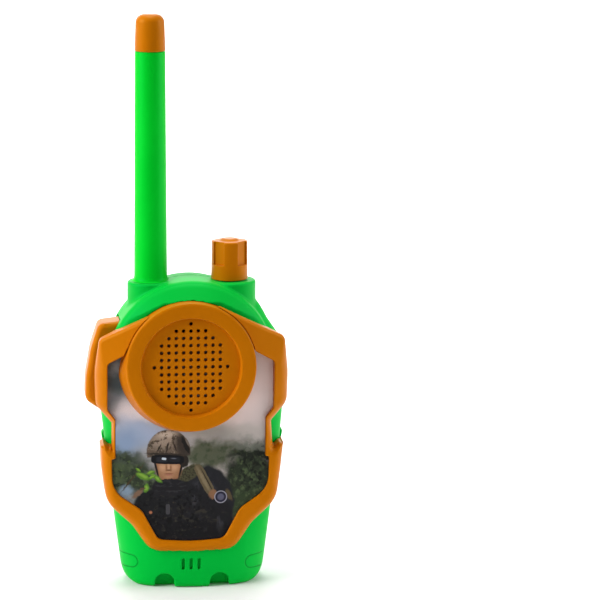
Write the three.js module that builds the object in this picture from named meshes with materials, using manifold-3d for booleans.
// Toy walkie talkie: a two-shell plastic casing with a bezel, a round speaker cover, a soft antenna, a volume
// knob, a side talk button, a battery door and a belt clip, and the electrics that it holds.
// Millimetres. +Z up, front facing -Y, origin at the middle of the flat underside.
import * as THREE from "three";
import { mergeVertices } from "three/addons/utils/BufferGeometryUtils.js";
import Module from "manifold-3d";

const wasm = await Module();
wasm.setup();

// ---------------------------------------------------------------- driving dimensions
const WALL = 2; // shell wall
const FIT = 0.3; // gap between pieces that fit together
const PART_Y = 2; // plane where the two shells meet
const NOSE = 2.3; // how square the casing's plan is; 2 would be an ellipse

const RING = { x: -1, z: 85.5 }; // speaker axis, along Y
const DISC_R = 30.4; // round head of the casing
const DISC_FRONT = -12.4;
const DISC_BACK = 13;
const BROW = { outR: 29.6, inR: 24.4, y: -16.6, z: 95 }; // the head's face climbs to the cover above this height

const ANTENNA = { x: -14.3, baseR: 6.2, topR: 5.6, capZ: 199.5, topZ: 213, bossR: 8.7 };
const KNOB = { x: 15, r: 6.8, z0: 114.9, ledgeZ: 120.4, topZ: 129.15, hubR: 3.6, hubH: 0.75, bossR: 9.8 };
const BOSS_TOP = 114.5;
const BOSS_FOOT = 96;

const BOW_R = 200; // radius of the bezel's bowed front
const BEZEL_FRONT = -15.9;
const CARD_FRONT = -14.9;
const CARD_T = 0.5;
const WINDOW_X = -0.6; // the window sits a little off the casing's centre line

const COVER = { front: -21.7, base: -14.6, r: 24, lipR: 18.5, plateR: 18, plateY: -19.7, plateT: 1.5 };
const SKIRT = { x: -1.8, r: 25.5, topZ: 90 }; // the cover's flared foot leans left and ends below the arms
const GRILLE_PITCH = 2.7;
const GRILLE_ROWS = [1, 5, 7, 9, 9, 9, 11, 9, 9, 9, 7, 5, 1]; // holes in each row, top to bottom
const GRILLE_HOLE_R = 0.7;

const TALK = { pivotX: -26.7, pivotZ: 96.6, halfY: 6, pinR: 0.8 };
const SWITCH_Z = 77; // height of the send and receive switch
const BOARD = { y0: 3, y1: 4.6, x: 22, z0: 63.5, z1: 100.5 };

const CELL = { r: 5.2, y: 4.9, pitch: 11.2, length: 44.5, nubR: 1.9, nubH: 1 };
const TRAY = { x: 16.9, z0: 8.4, z1: 59.4, floorY: -0.7, wall: 1.2, rim: 2.4 };
const DOOR = { x: 18, z0: 7.4, z1: 60.9, tabX: 6, tabZ: 67, t: 1.7, screwZ: 63.7, gap: 0.4 };
const CLIP = { x: 8, rootZ0: 95, rootZ1: 106, y: 15.2, t: 2, hingeZ: 94.7, tipZ: 69.5 };
const CASE_SCREWS = [[27, 60.5], [-27, 60.5], [22.3, 14], [-22.3, 14], [0, 108.2]];
const screwSeat = (z) => (z > 100 ? 8.5 : 6); // depth at which a case screw's head sits
const BEZEL_PEGS = [[-18, 33], [18, 33], [-25, 66.5], [25, 66.5]];
const COVER_PEG = { r: 1.2, out: 21.8, degrees: [90, 210, 330] };

// ---------------------------------------------------------------- colours
const paint = (color, roughness = 0.5, metalness = 0) =>
  new THREE.MeshStandardMaterial({ color, roughness, metalness });
const GREEN = paint(0x00c23a, 0.42);
const ORANGE = paint(0xc87408, 0.42);
const PRINT = paint(0x6a7068, 0.3);
const BLACK = paint(0x1b1b1d, 0.6);
const STEEL = paint(0xb9bcc0, 0.3, 1);
const BRASS = paint(0xc9a24a, 0.35, 1);
const BOARD_TAN = paint(0xa8763a, 0.6);
const PAPER = paint(0x2c2a28, 0.9);
const WHITE = paint(0xe8e6e0, 0.5);
const CELL_WRAP = paint(0x2f5f9e, 0.35);
const RED = paint(0xc02020, 0.5);

// ---------------------------------------------------------------- solids
// A closed three.js geometry as a manifold solid.
function solid(geometry) {
  const bare = geometry.index ? geometry.toNonIndexed() : geometry.clone();
  bare.deleteAttribute("normal");
  bare.deleteAttribute("uv");
  const merged = mergeVertices(bare, 1e-4);
  return new wasm.Manifold(
    new wasm.Mesh({
      numProp: 3,
      vertProperties: new Float32Array(merged.attributes.position.array),
      triVerts: new Uint32Array(merged.index.array),
    }),
  );
}

function geometryOf(body) {
  const mesh = body.getMesh();
  const geometry = new THREE.BufferGeometry();
  geometry.setAttribute("position", new THREE.BufferAttribute(mesh.vertProperties, 3));
  geometry.setIndex(new THREE.BufferAttribute(mesh.triVerts, 1));
  return geometry;
}

const union = (...bodies) => bodies.reduce((a, b) => a.add(b));

function box(x0, x1, y0, y1, z0, z1) {
  const g = new THREE.BoxGeometry(x1 - x0, y1 - y0, z1 - z0);
  return solid(g.translate((x0 + x1) / 2, (y0 + y1) / 2, (z0 + z1) / 2));
}

// A round bar along an axis, from a to b, through the point (u, v) of the other two axes in X, Y, Z order.
function rod(axis, r, a, b, u, v, sides = 24, r2 = r) {
  const g = new THREE.CylinderGeometry(r2, r, b - a, sides);
  g.translate(0, (a + b) / 2, 0);
  if (axis === "z") return solid(g.rotateX(Math.PI / 2).translate(u, v, 0));
  if (axis === "y") return solid(g.translate(u, 0, v));
  return solid(g.rotateZ(-Math.PI / 2).translate(0, u, v));
}

// A turned piece. The profile is [radius, height] pairs that start and end on the axis or close on
// themselves.
function turned(profile, sides) {
  return new THREE.LatheGeometry(profile.map(([r, h]) => new THREE.Vector2(r, h)), sides);
}
const turnedZ = (profile, x, y, sides = 32) =>
  solid(turned(profile, sides).rotateX(Math.PI / 2).translate(x, y, 0));
const turnedY = (profile, x, z, sides = 40) => solid(turned(profile, sides).translate(x, 0, z));

// An outline from corners [x, z, radius]: each corner is rounded by an arc of its radius.
function rounded(corners, step = 15) {
  const points = [];
  corners.forEach(([x, z, r = 0], i) => {
    const here = new THREE.Vector2(x, z);
    if (!r) return points.push(here);
    const [px, pz] = corners[(i + corners.length - 1) % corners.length];
    const [nx, nz] = corners[(i + 1) % corners.length];
    const back = new THREE.Vector2(px - x, pz - z).normalize();
    const ahead = new THREE.Vector2(nx - x, nz - z).normalize();
    const half = Math.acos(THREE.MathUtils.clamp(back.dot(ahead), -1, 1)) / 2;
    const centre = back.clone().add(ahead).normalize().multiplyScalar(r / Math.sin(half)).add(here);
    const from = here.clone().addScaledVector(back, r / Math.tan(half)).sub(centre);
    const turn = (Math.PI - 2 * half) * Math.sign(from.cross(ahead));
    const n = Math.max(1, Math.ceil(THREE.MathUtils.radToDeg(Math.abs(turn)) / step));
    for (let k = 0; k <= n; k++)
      points.push(from.clone().rotateAround(new THREE.Vector2(), (turn * k) / n).add(centre));
  });
  return points;
}

// The whole outline of a symmetric piece, from the corners of its right half listed from the bottom up.
const mirrored = (half) => {
  const left = half.filter(([x]) => x > 0).map(([x, z, r]) => [-x, z, r]).reverse();
  return [...half, ...left];
};

// A front-view outline (X, Z) pushed through the thickness from y0 to y1.
function slab(points, y0, y1, bevel = 0, bevelSegments = 3) {
  const g = new THREE.ExtrudeGeometry(new THREE.Shape(points), {
    depth: y1 - y0 - 2 * bevel,
    bevelEnabled: bevel > 0,
    bevelThickness: bevel,
    bevelSize: bevel,
    bevelOffset: -bevel,
    bevelSegments,
    curveSegments: 12,
  });
  return solid(g.rotateX(Math.PI / 2).translate(0, y1 - bevel, 0));
}

// A plan-view outline (X, Y) raised from z0 to z1.
function raised(points, z0, z1) {
  const g = new THREE.ExtrudeGeometry(new THREE.Shape(points), { depth: z1 - z0, bevelEnabled: false });
  return solid(g.translate(0, 0, z0));
}

// A side-view outline (Y, Z) pushed across from x0 to x1.
function across(points, x0, x1) {
  const g = new THREE.ExtrudeGeometry(new THREE.Shape(points), { depth: x1 - x0, bevelEnabled: false });
  return solid(g.rotateX(Math.PI / 2).rotateZ(Math.PI / 2).translate(x0, 0, 0));
}

const at = (x, y) => new THREE.Vector2(x, y);

// Thin round wire along a smooth curve through points.
function wire(points, r = 0.6, steps = 14) {
  const path = new THREE.CatmullRomCurve3(points.map((p) => new THREE.Vector3(...p)));
  const section = new THREE.Shape();
  section.absarc(0, 0, r, 0, 2 * Math.PI);
  const sweep = { steps, extrudePath: path, bevelEnabled: false, curveSegments: 3 };
  return solid(new THREE.ExtrudeGeometry(section, sweep));
}

// ---------------------------------------------------------------- casing shape
const CORNER_R = 10; // lower corners in the front view
const CORNER_Z = 8.3; // where the corners end and the tapered sides start

// Half-widths [height, reach]: the right side bulges further than the left, which carries the talk button.
const LEFT_WIDTH = [
  [CORNER_Z, 26.4], [58, 32.3], [66, 33.2], [74, 33.6], [82, 33.6], [90, 32.6],
  [94, 30.5], [97, 28.8], [100, 27], [103, 24.8], [106, 21.5],
];
const RIGHT_WIDTH = [
  [CORNER_Z, 28.4], [58, 34.4], [66, 35], [74, 35.4], [82, 35.4], [90, 34.6],
  [94, 33], [97, 31], [100, 29], [103, 27.4], [106, 24],
];

// Half-width of the casing at a height, less an inset.
function halfWidth(z, rows, inset = 0) {
  if (z >= CORNER_Z) return reachAt(z, rows) - inset;
  const r = CORNER_R - inset;
  const drop = Math.min(r, CORNER_R - Math.max(z, inset));
  return rows[0][1] - 9.95 + Math.sqrt(Math.max(0, r * r - drop * drop));
}

// A reach read from a table of [height, reach] rows: the casing's half-width or its depth.
function reachAt(z, rows) {
  const i = Math.max(1, rows.findIndex(([h]) => h >= z));
  const [[za, a], [zb, b]] = [rows[i - 1], rows[i]];
  return THREE.MathUtils.mapLinear(z, za, zb, a, b);
}
const FRONT_DEPTH = [
  [0, 13], [1, 13.9], [3, 14.3], [14, 14.4], [26, 13.4], [40, 12.6], [90, 12.4], [97, 11], [106, 8],
];
const BACK_DEPTH = [[0, 13], [1, 13.8], [3, 14.2], [90, 14.2], [97, 13.6], [106, 10]];
const LEVELS = [0, 1, 3, 5.5, 8.3, 26, 58, 80, 91, 97, 101.5, 106];

// Closed skin through rings of points, one ring for each level.
function lofted(rings) {
  const n = rings[0].length;
  const position = rings.flat().concat([0, rings.length - 1].map((i) => [0, 0, rings[i][0][2]]));
  const index = [];
  for (let i = 0; i + 1 < rings.length; i++)
    for (let k = 0; k < n; k++) {
      const [a, b, c, d] = [i * n + k, i * n + ((k + 1) % n), (i + 1) * n + ((k + 1) % n), (i + 1) * n + k];
      index.push(a, b, c, a, c, d);
    }
  const [low, high] = [n * rings.length, n * rings.length + 1];
  for (let k = 0; k < n; k++) {
    index.push(low, (k + 1) % n, k);
    index.push(high, high - 2 - n + 1 + k, high - 2 - n + 1 + ((k + 1) % n));
  }
  const g = new THREE.BufferGeometry();
  g.setAttribute("position", new THREE.Float32BufferAttribute(position.flat(), 3));
  g.setIndex(index);
  return solid(g);
}

// The lower and middle casing: at every height a squarish oval, less an inset.
function trunk(inset = 0, sides = 28) {
  const levels = LEVELS.filter((z) => z >= inset && z <= 106 - inset);
  if (inset && levels[0] !== inset) levels.unshift(inset);
  return lofted(
    levels.map((z) => {
      return Array.from({ length: sides }, (_, k) => {
        const a = (2 * Math.PI * (k + 0.5)) / sides;
        const w = halfWidth(z, Math.cos(a) < 0 ? LEFT_WIDTH : RIGHT_WIDTH, inset);
        const d = reachAt(z, Math.sin(a) < 0 ? FRONT_DEPTH : BACK_DEPTH) - inset;
        const curl = (v) => Math.sign(v) * Math.abs(v) ** (2 / NOSE);
        return [w * curl(Math.cos(a)), d * curl(Math.sin(a)), z];
      });
    }),
  );
}

// The round head, with a small round on its front rim and a large one at the back.
function head(inset = 0) {
  const [r, y0, y1] = [DISC_R - inset, DISC_FRONT + inset, DISC_BACK - inset];
  const [rim, heel] = [1.8, 6];
  const arc = [0, 30, 60, 90].map(THREE.MathUtils.degToRad);
  const profile = [[0, y0]];
  arc.forEach((a) => profile.push([r - rim + rim * Math.sin(a), y0 + rim - rim * Math.cos(a)]));
  arc.toReversed().forEach((a) => {
    profile.push([r - heel + heel * Math.sin(a), y1 - heel + heel * Math.cos(a)]);
  });
  profile.push([0, y1]);
  return turnedY(profile, 0, RING.z, 40);
}

// The part of the head's face that climbs towards the speaker cover.
function brow(grow = 0) {
  const { outR, inR, y, z } = BROW;
  const foot = DISC_FRONT + 1;
  const profile = [[0, y - grow], [inR, y - grow], [outR + grow, DISC_FRONT], [outR, foot], [0, foot]];
  const cone = turnedY(profile, 0, RING.z, 40);
  const above = box(-50, 50, -40, 0, z - grow, 130);
  return cone.intersect(above).subtract(rod("y", COVER.r + 0.2, -40, DISC_FRONT, RING.x, RING.z, 48));
}

// Upright round boss in the top of the casing, with a rounded rim.
function boss(x, r, foot, top) {
  const rim = 1;
  const side = [[r, foot], [r, top - rim], [r - 0.3, top - 0.3], [r - rim, top]];
  return turnedZ([[0, foot], ...side, [0, top]], x, 0, 28);
}

const envelope = (inset = 0) =>
  union(
    trunk(inset),
    head(inset),
    boss(ANTENNA.x, ANTENNA.bossR - Math.min(inset, 1.4), BOSS_FOOT, BOSS_TOP - inset),
    boss(KNOB.x, KNOB.bossR - inset, BOSS_FOOT, BOSS_TOP - inset),
  );
const OUTSIDE = envelope().add(brow());
const HOLLOW = envelope(WALL);
const FRONT_HALF = box(-60, 60, -40, PART_Y, -10, 150);
const BACK_HALF = box(-60, 60, PART_Y, 40, -10, 150);

// Slot in the left side for the talk button, and the two holes in the top.
const TALK_SLOT = box(-45, -25.2, -TALK.halfY - 0.4, TALK.halfY + 0.4, 65.8, 102.2);
const TALK_PIN_HOLE = rod("y", TALK.pinR + 0.2, -8, 8, TALK.pivotX, TALK.pivotZ, 10);
const TOP_HOLES = union(
  rod("z", ANTENNA.baseR + 0.15, 100, 120, ANTENNA.x, 0, 28),
  rod("z", 3.5, 100, 120, KNOB.x, 0, 20),
);

// ---------------------------------------------------------------- front shell
const NOTCH = { x: 10.2, r: 3.5, z: 1.9, back: -9.6 };
const SLOT = { x: -0.45, pitch: 2.95, r: 0.55, z0: 7.1, z1: 11.3 };

function frontShell() {
  const notch = (x, grow) =>
    slab(
      rounded([
        [x - NOTCH.r - grow - 0.4, -5], [x + NOTCH.r + grow + 0.4, -5],
        [x + NOTCH.r + grow, NOTCH.z + NOTCH.r + grow, NOTCH.r],
        [x - NOTCH.r - grow, NOTCH.z + NOTCH.r + grow, NOTCH.r],
      ]),
      -30,
      NOTCH.back + grow,
    );
  const notches = union(notch(NOTCH.x, 0), notch(-NOTCH.x, 0));
  const linings = union(notch(NOTCH.x, 1.4), notch(-NOTCH.x, 1.4)).intersect(OUTSIDE);
  let shell = OUTSIDE.subtract(HOLLOW).add(linings).intersect(FRONT_HALF).subtract(notches);
  for (const [x, z] of CASE_SCREWS) {
    const post = rod("y", 2.8, -14, PART_Y - 0.2, x, z, 12).intersect(OUTSIDE);
    shell = shell.add(post).subtract(rod("y", 1.15, -8.5, 10, x, z, 8));
  }
  const soundHole = rod("y", 16.5, -20, -8, RING.x, RING.z, 32);
  shell = shell.subtract(soundHole).subtract(TALK_SLOT).subtract(TALK_PIN_HOLE).subtract(TOP_HOLES);
  shell = shell.subtract(bezelPegs(FIT)).subtract(coverPegs(FIT));
  for (const k of [-1, 0, 1]) {
    const [x, { r, z0, z1 }] = [SLOT.x + k * SLOT.pitch, SLOT];
    const ends = rod("y", r, -20, -10, x, z0 + r, 8).add(rod("y", r, -20, -10, x, z1 - r, 8));
    shell = shell.subtract(ends.add(box(x - r, x + r, -20, -10, z0 + r, z1 - r)));
  }
  return shell;
}

// ---------------------------------------------------------------- rear shell
const { gap } = DOOR;
const DOOR_HOLE = union(
  box(-DOOR.x - gap, DOOR.x + gap, 6.5, 30, DOOR.z0 - gap, DOOR.z1 + gap),
  box(-DOOR.tabX - gap, DOOR.tabX + gap, 6.5, 30, DOOR.z1 - 1, DOOR.tabZ + gap),
);
const DOORWAY = DOOR_HOLE.subtract(envelope(DOOR.t + 0.2));

// Battery tray: an open box in the rear shell, with a rim that the door rests on.
function batteryTray() {
  const { x, z0, z1, floorY, wall, rim } = TRAY;
  const block = box(-x - rim, x + rim, floorY - wall, 20, z0 - wall, z1 + wall).intersect(OUTSIDE);
  const room = box(-x, x, floorY, 30, z0, z1);
  const tabSlot = (cx, z) => box(cx - 1.8, cx + 1.8, floorY - wall - 1, floorY + 1, z - 0.3, z + 0.7);
  const slots = tabSlot(-CELL.pitch, z0 + 0.3).add(tabSlot(CELL.pitch, z1 - 0.7));
  return block.subtract(room).subtract(slots);
}

function rearShell() {
  const pad = box(-CLIP.x - 1, CLIP.x + 1, 8, CLIP.y, CLIP.rootZ0 - 1, CLIP.rootZ1 + 1);
  const rib = (corners) => slab(corners.map(([x, z]) => at(x, z)), PART_Y + 0.4, 8);
  const rightRib = rib([[20, 33], [32.2, 33], [35.6, 57], [20, 57]]);
  const ribs = rightRib.add(rib([[-20, 57], [-33, 57], [-29.6, 33], [-20, 33]]));
  const shelf = box(-3.4, 3.4, 5.2, 20, TRAY.z1 + 0.6, DOOR.tabZ - 0.4).intersect(OUTSIDE);
  const skin = OUTSIDE.intersect(BACK_HALF).add(pad).add(ribs).subtract(HOLLOW);
  let shell = skin.subtract(DOOR_HOLE).add(batteryTray()).add(shelf).subtract(DOORWAY);
  for (const [x, z] of CASE_SCREWS) {
    const post = rod("y", 3.6, PART_Y, 14, x, z, 14).intersect(OUTSIDE);
    const well = rod("y", 2.9, screwSeat(z), 20, x, z, 14);
    shell = shell.add(post).subtract(well).subtract(rod("y", 1.5, -5, 20, x, z, 8));
  }
  for (const s of [-1, 1]) shell = shell.subtract(rod("y", 1.15, 10, 20, s * 4.5, 100.5, 8));
  shell = shell.subtract(rod("y", 1.25, 6.5, 20, 0, DOOR.screwZ, 8));
  return shell.subtract(TALK_SLOT).subtract(TALK_PIN_HOLE).subtract(TOP_HOLES);
}

// ---------------------------------------------------------------- bezel, window card and speaker cover
const BEZEL_OUTLINE = mirrored([
  [0, 13.3, 40], [15.6, 14.2, 8], [22.4, 24.2, 9], [31.8, 32.6, 11], [33.5, 46, 25], [34.7, 57.2, 0.8],
  [29.6, 51.8, 0.6], [29.6, 63.1, 1.2], [35.6, 69.9, 6], [35.9, 82, 30], [34.3, 95.2, 3], [10, 107.5, 3],
]);
const WINDOW_OUTLINE = mirrored([
  [0, 18.2, 60], [12.3, 19, 4], [18.3, 30.3, 8], [29.1, 37.6, 9], [29.3, 49.6, 0.4], [27.9, 50, 0.4],
  [27.9, 64.8, 1.4], [30.8, 68.6, 2], [30.8, 86.4, 2], [13, 97.2],
]);
const ARM = { inR: 24.2, inY: -19.6, outR: 32, outY: -15.9, z0: 86 }; // they climb from frame to cover

// Everything behind the bowed face of radius BOW_R whose middle is at y.
function behindBow(y, radius = BOW_R) {
  const points = [];
  for (let deg = -32; deg <= 32; deg += 4) {
    const a = THREE.MathUtils.degToRad(deg);
    points.push(new THREE.Vector2(radius * Math.sin(a), y + radius - radius * Math.cos(a)));
  }
  points.push(new THREE.Vector2(60, 60), new THREE.Vector2(-60, 60));
  return raised(points, -10, 150);
}

// The window outline, pulled in by an inset.
const windowOutline = (inset = 0) =>
  rounded(WINDOW_OUTLINE.map(([x, z, r]) => {
    return [x + WINDOW_X - Math.sign(x) * inset, z + (z > 45 ? -inset : inset), r];
  }));

const bezelPegs = (grow = 0) =>
  union(...BEZEL_PEGS.map(([x, z]) => rod("y", 1.5 + grow, -12.5, -8.4 + grow, x, z, 12)));
const coverPegs = (grow = 0) =>
  union(...COVER_PEG.degrees.map(THREE.MathUtils.degToRad).map((a) => {
    const [x, z] = [RING.x + COVER_PEG.out * Math.cos(a), RING.z + COVER_PEG.out * Math.sin(a)];
    return rod("y", COVER_PEG.r + grow, COVER.plateY + 0.5, -9.6 + grow, x, z, 12);
  }));

// The opening in the bezel that the speaker cover drops into: round above, as wide as the skirt below.
function coverRoom() {
  const seat = COVER.base + FIT;
  const skirt = rod("y", SKIRT.r + 0.2, -30, seat, SKIRT.x, RING.z, 48);
  const low = skirt.intersect(box(-60, 60, -60, 60, 0, SKIRT.topZ));
  return rod("y", COVER.r + 0.2, -30, seat, RING.x, RING.z, 48).add(low);
}

function bezel() {
  const back = CARD_FRONT + CARD_T + 0.1;
  const plan = slab(rounded(BEZEL_OUTLINE), -20, -0.5);
  const slope = [at(-30, 88), at(BEZEL_FRONT - 0.6, 88), at(-12.7, 106), at(-12.7, 120), at(-30, 120)];
  const slopeTop = across(slope, -60, 60);
  const { inR, inY, outR, outY } = ARM;
  const climb = turnedY([[0, inY], [inR, inY], [outR, outY], [38, -12], [0, -12]], RING.x, RING.z, 48);
  const arms = plan.intersect(climb).intersect(box(-60, 60, -30, 0, ARM.z0, 120));
  const outline = plan.intersect(behindBow(BEZEL_FRONT)).subtract(slopeTop).add(arms);
  const window = slab(windowOutline(), -30, 5);
  const backing = window.intersect(behindBow(back)).subtract(behindBow(back + 1.2));
  const frame = outline.subtract(window).add(backing.intersect(outline)).add(bezelPegs());
  const platform = rod("y", SKIRT.r + 0.3, COVER.base + FIT, -8, SKIRT.x, RING.z, 48).intersect(plan);
  const sides = union(box(-60, -26, -TALK.halfY - 1, 20, 60, 110), box(26, 60, -TALK.halfY - 1, 20, 60, 110));
  return frame
    .subtract(coverRoom())
    .add(platform)
    .subtract(envelope(-FIT).add(brow(FIT)).subtract(bezelPegs()))
    .subtract(sides)
    .subtract(coverPegs(FIT))
    .subtract(rod("y", 17.5, -30, 0, RING.x, RING.z, 36));
}

function card() {
  const sheet = behindBow(CARD_FRONT).subtract(behindBow(CARD_FRONT + CARD_T));
  const room = rod("y", SKIRT.r + 0.5, -30, 0, SKIRT.x, RING.z, 48);
  return sheet.intersect(slab(windowOutline(0.15), -30, 0)).subtract(room).subtract(head(-FIT));
}

// The flared foot of the cover: a ring whose base is wider than its top and shifted to the left.
function coverSkirt() {
  const { front, base, r } = COVER;
  const top = front + 1.2;
  const section = [[r - 1.9, top], [r - 0.2, top], [SKIRT.r, base], [r - 1.9, base], [r - 1.9, top]];
  const lathe = turned(section, 48);
  const lean = (SKIRT.x - RING.x) / (base - top);
  lathe.applyMatrix4(new THREE.Matrix4().set(1, lean, 0, -lean * top, 0, 1, 0, 0, 0, 0, 1, 0, 0, 0, 0, 1));
  return solid(lathe.translate(RING.x, 0, RING.z)).intersect(box(-60, 60, -60, 60, 0, SKIRT.topZ - 0.2));
}

function speakerCover() {
  const c = COVER;
  const shell = turnedY([
    [0, c.plateY], [c.plateR, c.plateY], [c.plateR + 0.2, c.front + 0.5], [c.lipR, c.front],
    [c.r - 1.1, c.front], [c.r - 0.3, c.front + 0.35], [c.r, c.front + 1.1], [c.r, c.base],
    [c.r - 2, c.base], [c.r - 2, c.plateY + 1.2], [c.plateR + 1.2, c.plateY + c.plateT],
    [0, c.plateY + c.plateT],
  ], RING.x, RING.z, 48);
  const hole = new THREE.CylinderGeometry(GRILLE_HOLE_R, GRILLE_HOLE_R, 4, 5);
  const holes = [];
  GRILLE_ROWS.forEach((count, row) => {
    for (let k = 0; k < count; k++) {
      const x = RING.x + (k - (count - 1) / 2) * GRILLE_PITCH;
      const z = RING.z + ((GRILLE_ROWS.length - 1) / 2 - row) * GRILLE_PITCH;
      holes.push(solid(hole.clone().translate(x, c.plateY, z)));
    }
  });
  return shell.add(coverSkirt()).add(coverPegs()).subtract(wasm.Manifold.union(holes));
}

// ---------------------------------------------------------------- antenna
function antennaSleeve() {
  const a = ANTENNA;
  const skirt = 6.9;
  const foot = [[3.6, 104.5], [skirt, 104.5], [skirt, 107], [a.baseR - 0.05, 107]];
  const mast = [[a.baseR - 0.05, BOSS_TOP + 2], [a.topR, a.capZ], [3.6, a.capZ], [3.6, 104.5]];
  return turnedZ([...foot, ...mast], a.x, 0, 24);
}

function antennaCap() {
  const [r, z, top] = [ANTENNA.topR + 0.1, ANTENNA.capZ, ANTENNA.topZ];
  const dome = 3.6;
  const arc = [0, 30, 60, 90].map((deg) => {
    const t = THREE.MathUtils.degToRad(deg);
    return [r - 0.3 - dome + dome * Math.cos(t), top - dome + dome * Math.sin(t)];
  });
  const plug = [[0, z - 9], [3.45, z - 9], [3.45, z + 0.1]];
  return turnedZ([...plug, [r, z + 0.1], ...arc, [0, top]], ANTENNA.x, 0, 24);
}

// ---------------------------------------------------------------- knob
function knob() {
  const { x, r, z0, ledgeZ, topZ, hubR, hubH } = KNOB;
  const flat = 5.55; // distance of each flute's flat floor from the axis
  const blank = turnedZ([[0, z0], [r, z0], [r - 0.15, topZ - 0.7], [r - 0.7, topZ], [0, topZ]], x, 0, 40);
  const flute = (deg) => {
    const [from, to] = [deg - 21.5, deg + 21.5].map(THREE.MathUtils.degToRad);
    const shape = new THREE.Shape();
    const edge = flat / Math.cos((to - from) / 2);
    shape.moveTo(edge * Math.cos(from), edge * Math.sin(from));
    shape.lineTo(edge * Math.cos(to), edge * Math.sin(to));
    shape.absarc(0, 0, r + 2, to, from, true);
    return raised(shape.getPoints(6).map((p) => new THREE.Vector2(p.x + x, p.y)), ledgeZ, topZ + 2);
  };
  const cuts = union(...[45, 135, 225, 315].map(flute));
  const [foot, top] = [topZ - 1, topZ + hubH];
  const hub = turnedZ([[0, foot], [hubR, foot], [hubR, topZ], [hubR - 0.9, top], [0, top]], x, 0, 20);
  return blank.subtract(cuts).add(hub).subtract(rod("z", 3, z0 - 1, 122.3, x, 0, 20));
}

// ---------------------------------------------------------------- talk button and its switch
const TALK_OUTLINE = [
  [-26, 66.7], [-33.6, 66.8, 3], [-39.2, 70.6, 4], [-38.9, 79], [-37, 90], [-34, 99.3, 3], [-26, 100.2],
];

function talkButton() {
  const { halfY, pivotX, pivotZ, pinR } = TALK;
  const pad = slab(rounded(TALK_OUTLINE), -halfY, halfY, 1.2, 2).subtract(box(-29, -25, -60, 60, 60, 110));
  const body = box(-29.2, -26.2, -5.6, 5.6, 67.6, 99.4);
  const flange = box(-26.3, -24.8, -7.2, 7.2, 70, 94).intersect(envelope(WALL + 0.4));
  const lip = box(-29.9, -28.4, -2.3, 2.3, 64.4, 68.5);
  const nib = box(-25, -24.65, -2, 2, SWITCH_Z - 1, SWITCH_Z + 1);
  return union(pad, body, flange, lip, nib, rod("y", pinR, -7.6, 7.6, pivotX, pivotZ, 10));
}

const switchBody = () => {
  const [z0, z1] = [SWITCH_Z - 4.5, SWITCH_Z + 4.5];
  const bore = box(-22, -18.2, -1.5, 1.5, SWITCH_Z - 1.7, SWITCH_Z + 1.7);
  const feet = box(-20.6, -14.6, 2.5, 2.95, z0 + 1.5, z1 - 1.5);
  return box(-21.6, -13.6, -2.4, 2.7, z0, z1).add(feet).subtract(bore);
};
const switchPlunger = () => box(-24.5, -20, -1.3, 1.3, SWITCH_Z - 1.5, SWITCH_Z + 1.5);

// ---------------------------------------------------------------- speaker, board, volume control, microphone
const SPEAKER = { rimR: 19, rimY: -10.2, coneY: -5, magnetR: 9, magnetY: -0.8 };
function basket() {
  const { rimR, rimY, coneY } = SPEAKER;
  const rim = [[17.2, rimY], [rimR, rimY], [rimR, rimY + 1.4], [17.6, rimY + 1.4]];
  const inside = [[5, coneY - 0.7], [10, coneY - 0.7], [17.2, rimY + 0.5], [17.2, rimY]];
  return turnedY([...rim, [10.5, coneY], [5, coneY], ...inside], RING.x, RING.z, 32);
}
const rimAt = (dy) => SPEAKER.rimY + 0.2 + dy;
function cone() {
  const front = [[0, -8.6], [4.5, -7.6], [5.5, -7.9], [15, rimAt(-0.2)], [16.9, rimAt(0)]];
  const back = [[16.9, rimAt(0.4)], [15, rimAt(0.2)], [5.5, -7.2], [4.3, -6.6], [4.3, -5.9], [0, -5.9]];
  return turnedY([...front, ...back], RING.x, RING.z, 32);
}
function magnet() {
  const { magnetR, magnetY } = SPEAKER;
  return turnedY([[0, -4.9], [magnetR, -4.9], [magnetR, magnetY], [0, magnetY]], RING.x, RING.z, 28);
}

const board = () => box(-BOARD.x, BOARD.x, BOARD.y0, BOARD.y1, BOARD.z0, BOARD.z1);

// Parts soldered to the board's back.
const SOLDER_Y = BOARD.y1 + 0.02;
const chip = () => {
  const y = SOLDER_Y;
  return turnedY([[0, y], [5, y], [4, y + 1.1], [0, y + 1.8]], -3, 76, 20);
};
const tuningCan = (x, z) => box(x - 2.5, x + 2.5, SOLDER_Y, SOLDER_Y + 5, z - 2.5, z + 2.5);
const capacitor = (x, z) => rod("y", 2, SOLDER_Y, SOLDER_Y + 5.2, x, z, 14);
const crystal = () => box(-12, -4, SOLDER_Y, SOLDER_Y + 2.6, 86, 89.4);
const coil = () => rod("x", 2, 6, 13, SOLDER_Y + 2.05, 85, 14);

const volumeBody = () =>
  union(
    box(KNOB.x - 5.4, KNOB.x + 5.4, -5, 2.7, 96, 103),
    rod("z", 3.4, 103, 107.6, KNOB.x, 0, 18),
    box(KNOB.x - 4, KNOB.x + 4, 2.5, 2.95, 97, 100),
  );
const volumeShaft = () => rod("z", 2.9, 107.9, 122, KNOB.x, 0, 20);
const microphone = () =>
  turnedY([[0, -11.4], [1.4, -11.4], [1.4, -11.7], [3, -11.7], [3, -8.6], [0, -8.6]], 0, 9.2, 20);

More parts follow.
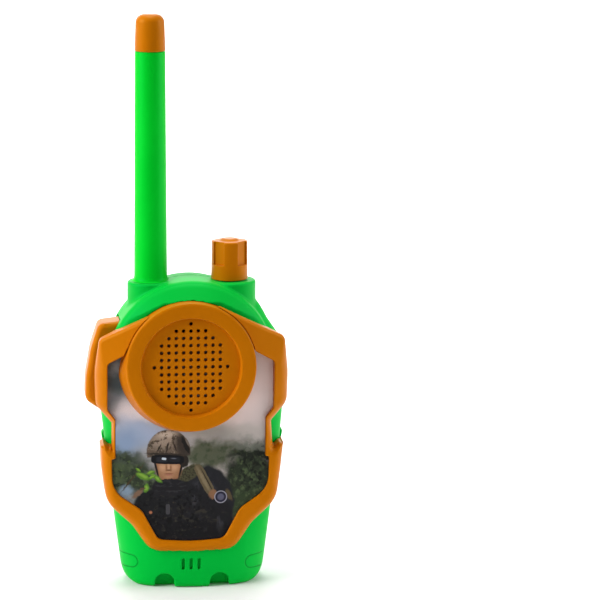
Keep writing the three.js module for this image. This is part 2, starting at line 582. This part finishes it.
// ---------------------------------------------------------------- batteries, contacts, door
function cell(index) {
  const up = index % 2 === 0;
  const x = (index - 1) * CELL.pitch;
  const z0 = up ? TRAY.z1 - 0.6 - CELL.length : TRAY.z0 + 0.6;
  const z1 = z0 + CELL.length;
  const [body0, body1] = up ? [z0, z1 - CELL.nubH] : [z0 + CELL.nubH, z1];
  const nub = up ? [body1 - 0.1, z1] : [z0, body0 + 0.1];
  const can = rod("z", CELL.r, body0, body1, x, CELL.y, 24);
  return can.add(rod("z", CELL.nubR, nub[0], nub[1], x, CELL.y, 14));
}

// One conical contact spring, from a plate at z to the cell at z plus its height.
function contactSpring(x, z, height) {
  const turns = 3;
  const points = Array.from({ length: 25 }, (_, k) => {
    const t = k / 24;
    const a = 2 * Math.PI * turns * t;
    const r = 3.2 - 1.4 * t;
    return new THREE.Vector3(x + r * Math.cos(a), CELL.y + r * Math.sin(a), z + height * t);
  });
  const section = new THREE.Shape();
  section.absarc(0, 0, 0.3, 0, 2 * Math.PI);
  const path = new THREE.CatmullRomCurve3(points);
  return solid(new THREE.ExtrudeGeometry(section, { steps: 30, extrudePath: path, curveSegments: 2 }));
}
const cellSpring = (i) => {
  const x = (i - 1) * CELL.pitch;
  return i % 2 === 0 ? contactSpring(x, TRAY.z0 + 0.9, 4.1) : contactSpring(x, TRAY.z1 - 0.9, -4.1);
};

const PLATE = { t: 0.4, halfY: 4.4 };
function plates() {
  const plate = (x0, x1, z) => box(x0, x1, CELL.y - PLATE.halfY, CELL.y + PLATE.halfY, z, z + PLATE.t);
  const tab = (x, z) => box(x - 1.5, x + 1.5, -3.2, CELL.y, z, z + PLATE.t);
  const [low, high] = [TRAY.z0 + 0.1, TRAY.z1 - 0.1 - PLATE.t];
  return [
    plate(-15.8, -7.4, low).add(tab(-CELL.pitch, low)),
    plate(-4.2, 15.8, low),
    plate(-15.8, 4.2, high),
    plate(7.4, 15.8, high).add(tab(CELL.pitch, high)),
  ];
}

function door() {
  const pane = union(
    box(-DOOR.x, DOOR.x, 6.5, 30, DOOR.z0, DOOR.z1),
    box(-DOOR.tabX, DOOR.tabX, 6.5, 30, DOOR.z1 - 1, DOOR.tabZ),
  );
  const skin = OUTSIDE.subtract(envelope(DOOR.t)).intersect(pane);
  const bore = rod("y", 1.4, 5, 20, 0, DOOR.screwZ, 12);
  return skin.subtract(bore).subtract(rod("y", 2.8, 13.1, 20, 0, DOOR.screwZ, 16));
}

// A pan-head screw along Y: head at y, shank running to yEnd.
const screw = (x, z, y, yEnd, headR = 2.4) =>
  rod("y", headR, y, y + 1.5, x, z, 16).add(rod("y", 1, yEnd, y + 0.7, x, z, 8));
const caseScrews = () => CASE_SCREWS.map(([x, z]) => screw(x, z, screwSeat(z) + 0.05, -7.5));

// ---------------------------------------------------------------- belt clip
const clipRoot = () => {
  const y = CLIP.y + 0.02;
  const { x, rootZ0, rootZ1 } = CLIP;
  const corners = [[-x, rootZ0], [x, rootZ0], [x, rootZ1, 2.5], [-x, rootZ1, 2.5]];
  const hole = (s) => rod("y", 1.3, 10, 30, s * 4.5, 100.5, 10);
  return slab(rounded(corners), y, y + CLIP.t).subtract(hole(1)).subtract(hole(-1));
};
const clipTongue = () => {
  const y = CLIP.y + 0.02;
  const [z, tip] = [CLIP.hingeZ, CLIP.tipZ];
  const bend = [at(y, z), at(y + 2, z), at(y + 5.9, z - 6)];
  const blade = [at(y + 5.9, 80), at(y + 3.7, 75.5), at(y + 6.2, tip)];
  const hook = [at(y + 4.6, tip - 0.4), at(y + 0.6, 74.5), at(y + 0.6, 76.5)];
  const inside = [...hook, at(y + 3.9, 80.5), at(y + 3.9, z - 6.4)];
  return across([...bend, ...blade, ...inside].toReversed(), -CLIP.x, CLIP.x);
};
const clipScrews = () => [-4.5, 4.5].map((x) => screw(x, 100.5, CLIP.y + CLIP.t + 0.05, 11, 2.1));

// ---------------------------------------------------------------- wiring
const toBoard = (x, z) => [[x, 1.4, z], [x, 2.9, z]]; // the last stretch of a wire, square onto the board
const speakerWires = () => [
  wire([[-10.9, -5.9, 75.4], [-11.4, -4.6, 74], [-12, -1.5, 71], ...toBoard(-12, 69.6)]),
  wire([[-8.6, -5.9, 73.4], [-8.6, -4.6, 72], [-8.6, -1.5, 69.4], ...toBoard(-8.6, 68)]),
];
const batteryWires = () => [
  wire([[CELL.pitch, -3.9, 59], [11.6, -4, 60.5], [12, -2.4, 63.8], ...toBoard(12, 66)], 0.6, 10),
  wire([
    [-CELL.pitch, -3.9, 8.9], [-11.4, -4.4, 12], [-15, -4.6, 24], [-16, -4.6, 50], [-16, -3, 62],
    ...toBoard(-16, 66),
  ]),
];
const microphoneWires = () => [-1.2, 1.2].map((x) => {
  const middle = [[x, -6.9, 11], [x - 3, -6, 30], [x - 4, -6, 52], [x - 4, -3.5, 62]];
  return wire([[x, -8.45, 9.2], [x, -7.8, 9.2], ...middle, ...toBoard(x - 4, 65.6)], 0.5, 16);
});
const antennaLead = () => {
  const { x } = ANTENNA;
  return wire([[x, 0, 101.3], [x, 0.2, 100], ...toBoard(x, 98)], 0.6, 8);
};

// ---------------------------------------------------------------- the assembly
const walkieTalkie = new THREE.Group();
function piece(name, body, material) {
  const mesh = new THREE.Mesh(geometryOf(body), material.clone());
  mesh.name = name;
  walkieTalkie.add(mesh);
}

const pieces = (name, bodies, material) =>
  bodies.forEach((body, i) => piece(`${name}_${i + 1}`, body, material));

piece("front_shell", frontShell(), GREEN);
piece("rear_shell", rearShell(), GREEN);
piece("front_bezel", bezel(), ORANGE);
piece("picture_card", card(), PRINT);
piece("speaker_cover", speakerCover(), ORANGE);
piece("antenna_sleeve", antennaSleeve(), GREEN);
piece("antenna_cap", antennaCap(), ORANGE);
piece("antenna_wire", rod("z", 0.8, 101.5, 189, ANTENNA.x, 0, 10), STEEL);
piece("volume_knob", knob(), ORANGE);
piece("volume_shaft", volumeShaft(), WHITE);
piece("volume_control_body", volumeBody(), STEEL);
piece("talk_button", talkButton(), ORANGE);
piece("talk_switch_body", switchBody(), STEEL);
piece("talk_switch_plunger", switchPlunger(), WHITE);
piece("speaker_basket", basket(), STEEL);
piece("speaker_cone", cone(), PAPER);
piece("speaker_magnet", magnet(), STEEL);
piece("circuit_board", board(), BOARD_TAN);
piece("chip_blob", chip(), BLACK);
piece("crystal", crystal(), STEEL);
piece("loading_coil", coil(), BRASS);
pieces("tuning_can", [tuningCan(9, 70), tuningCan(17, 70)], STEEL);
pieces("capacitor", [capacitor(-13, 70), capacitor(-17.5, 92)], BLACK);
piece("microphone", microphone(), STEEL);
pieces("battery_cell", [0, 1, 2].map(cell), CELL_WRAP);
pieces("battery_spring", [0, 1, 2].map(cellSpring), STEEL);
pieces("battery_contact", plates(), BRASS);
piece("battery_door", door(), GREEN);
piece("battery_door_screw", screw(0, DOOR.screwZ, 13.15, 7), STEEL);
pieces("case_screw", caseScrews(), STEEL);
piece("belt_clip_root", clipRoot(), GREEN);
piece("belt_clip_tongue", clipTongue(), GREEN);
pieces("belt_clip_screw", clipScrews(), STEEL);
pieces("speaker_wire", speakerWires(), RED);
pieces("battery_wire", batteryWires(), RED);
pieces("microphone_wire", microphoneWires(), BLACK);
piece("antenna_lead", antennaLead(), BLACK);

export default walkieTalkie;
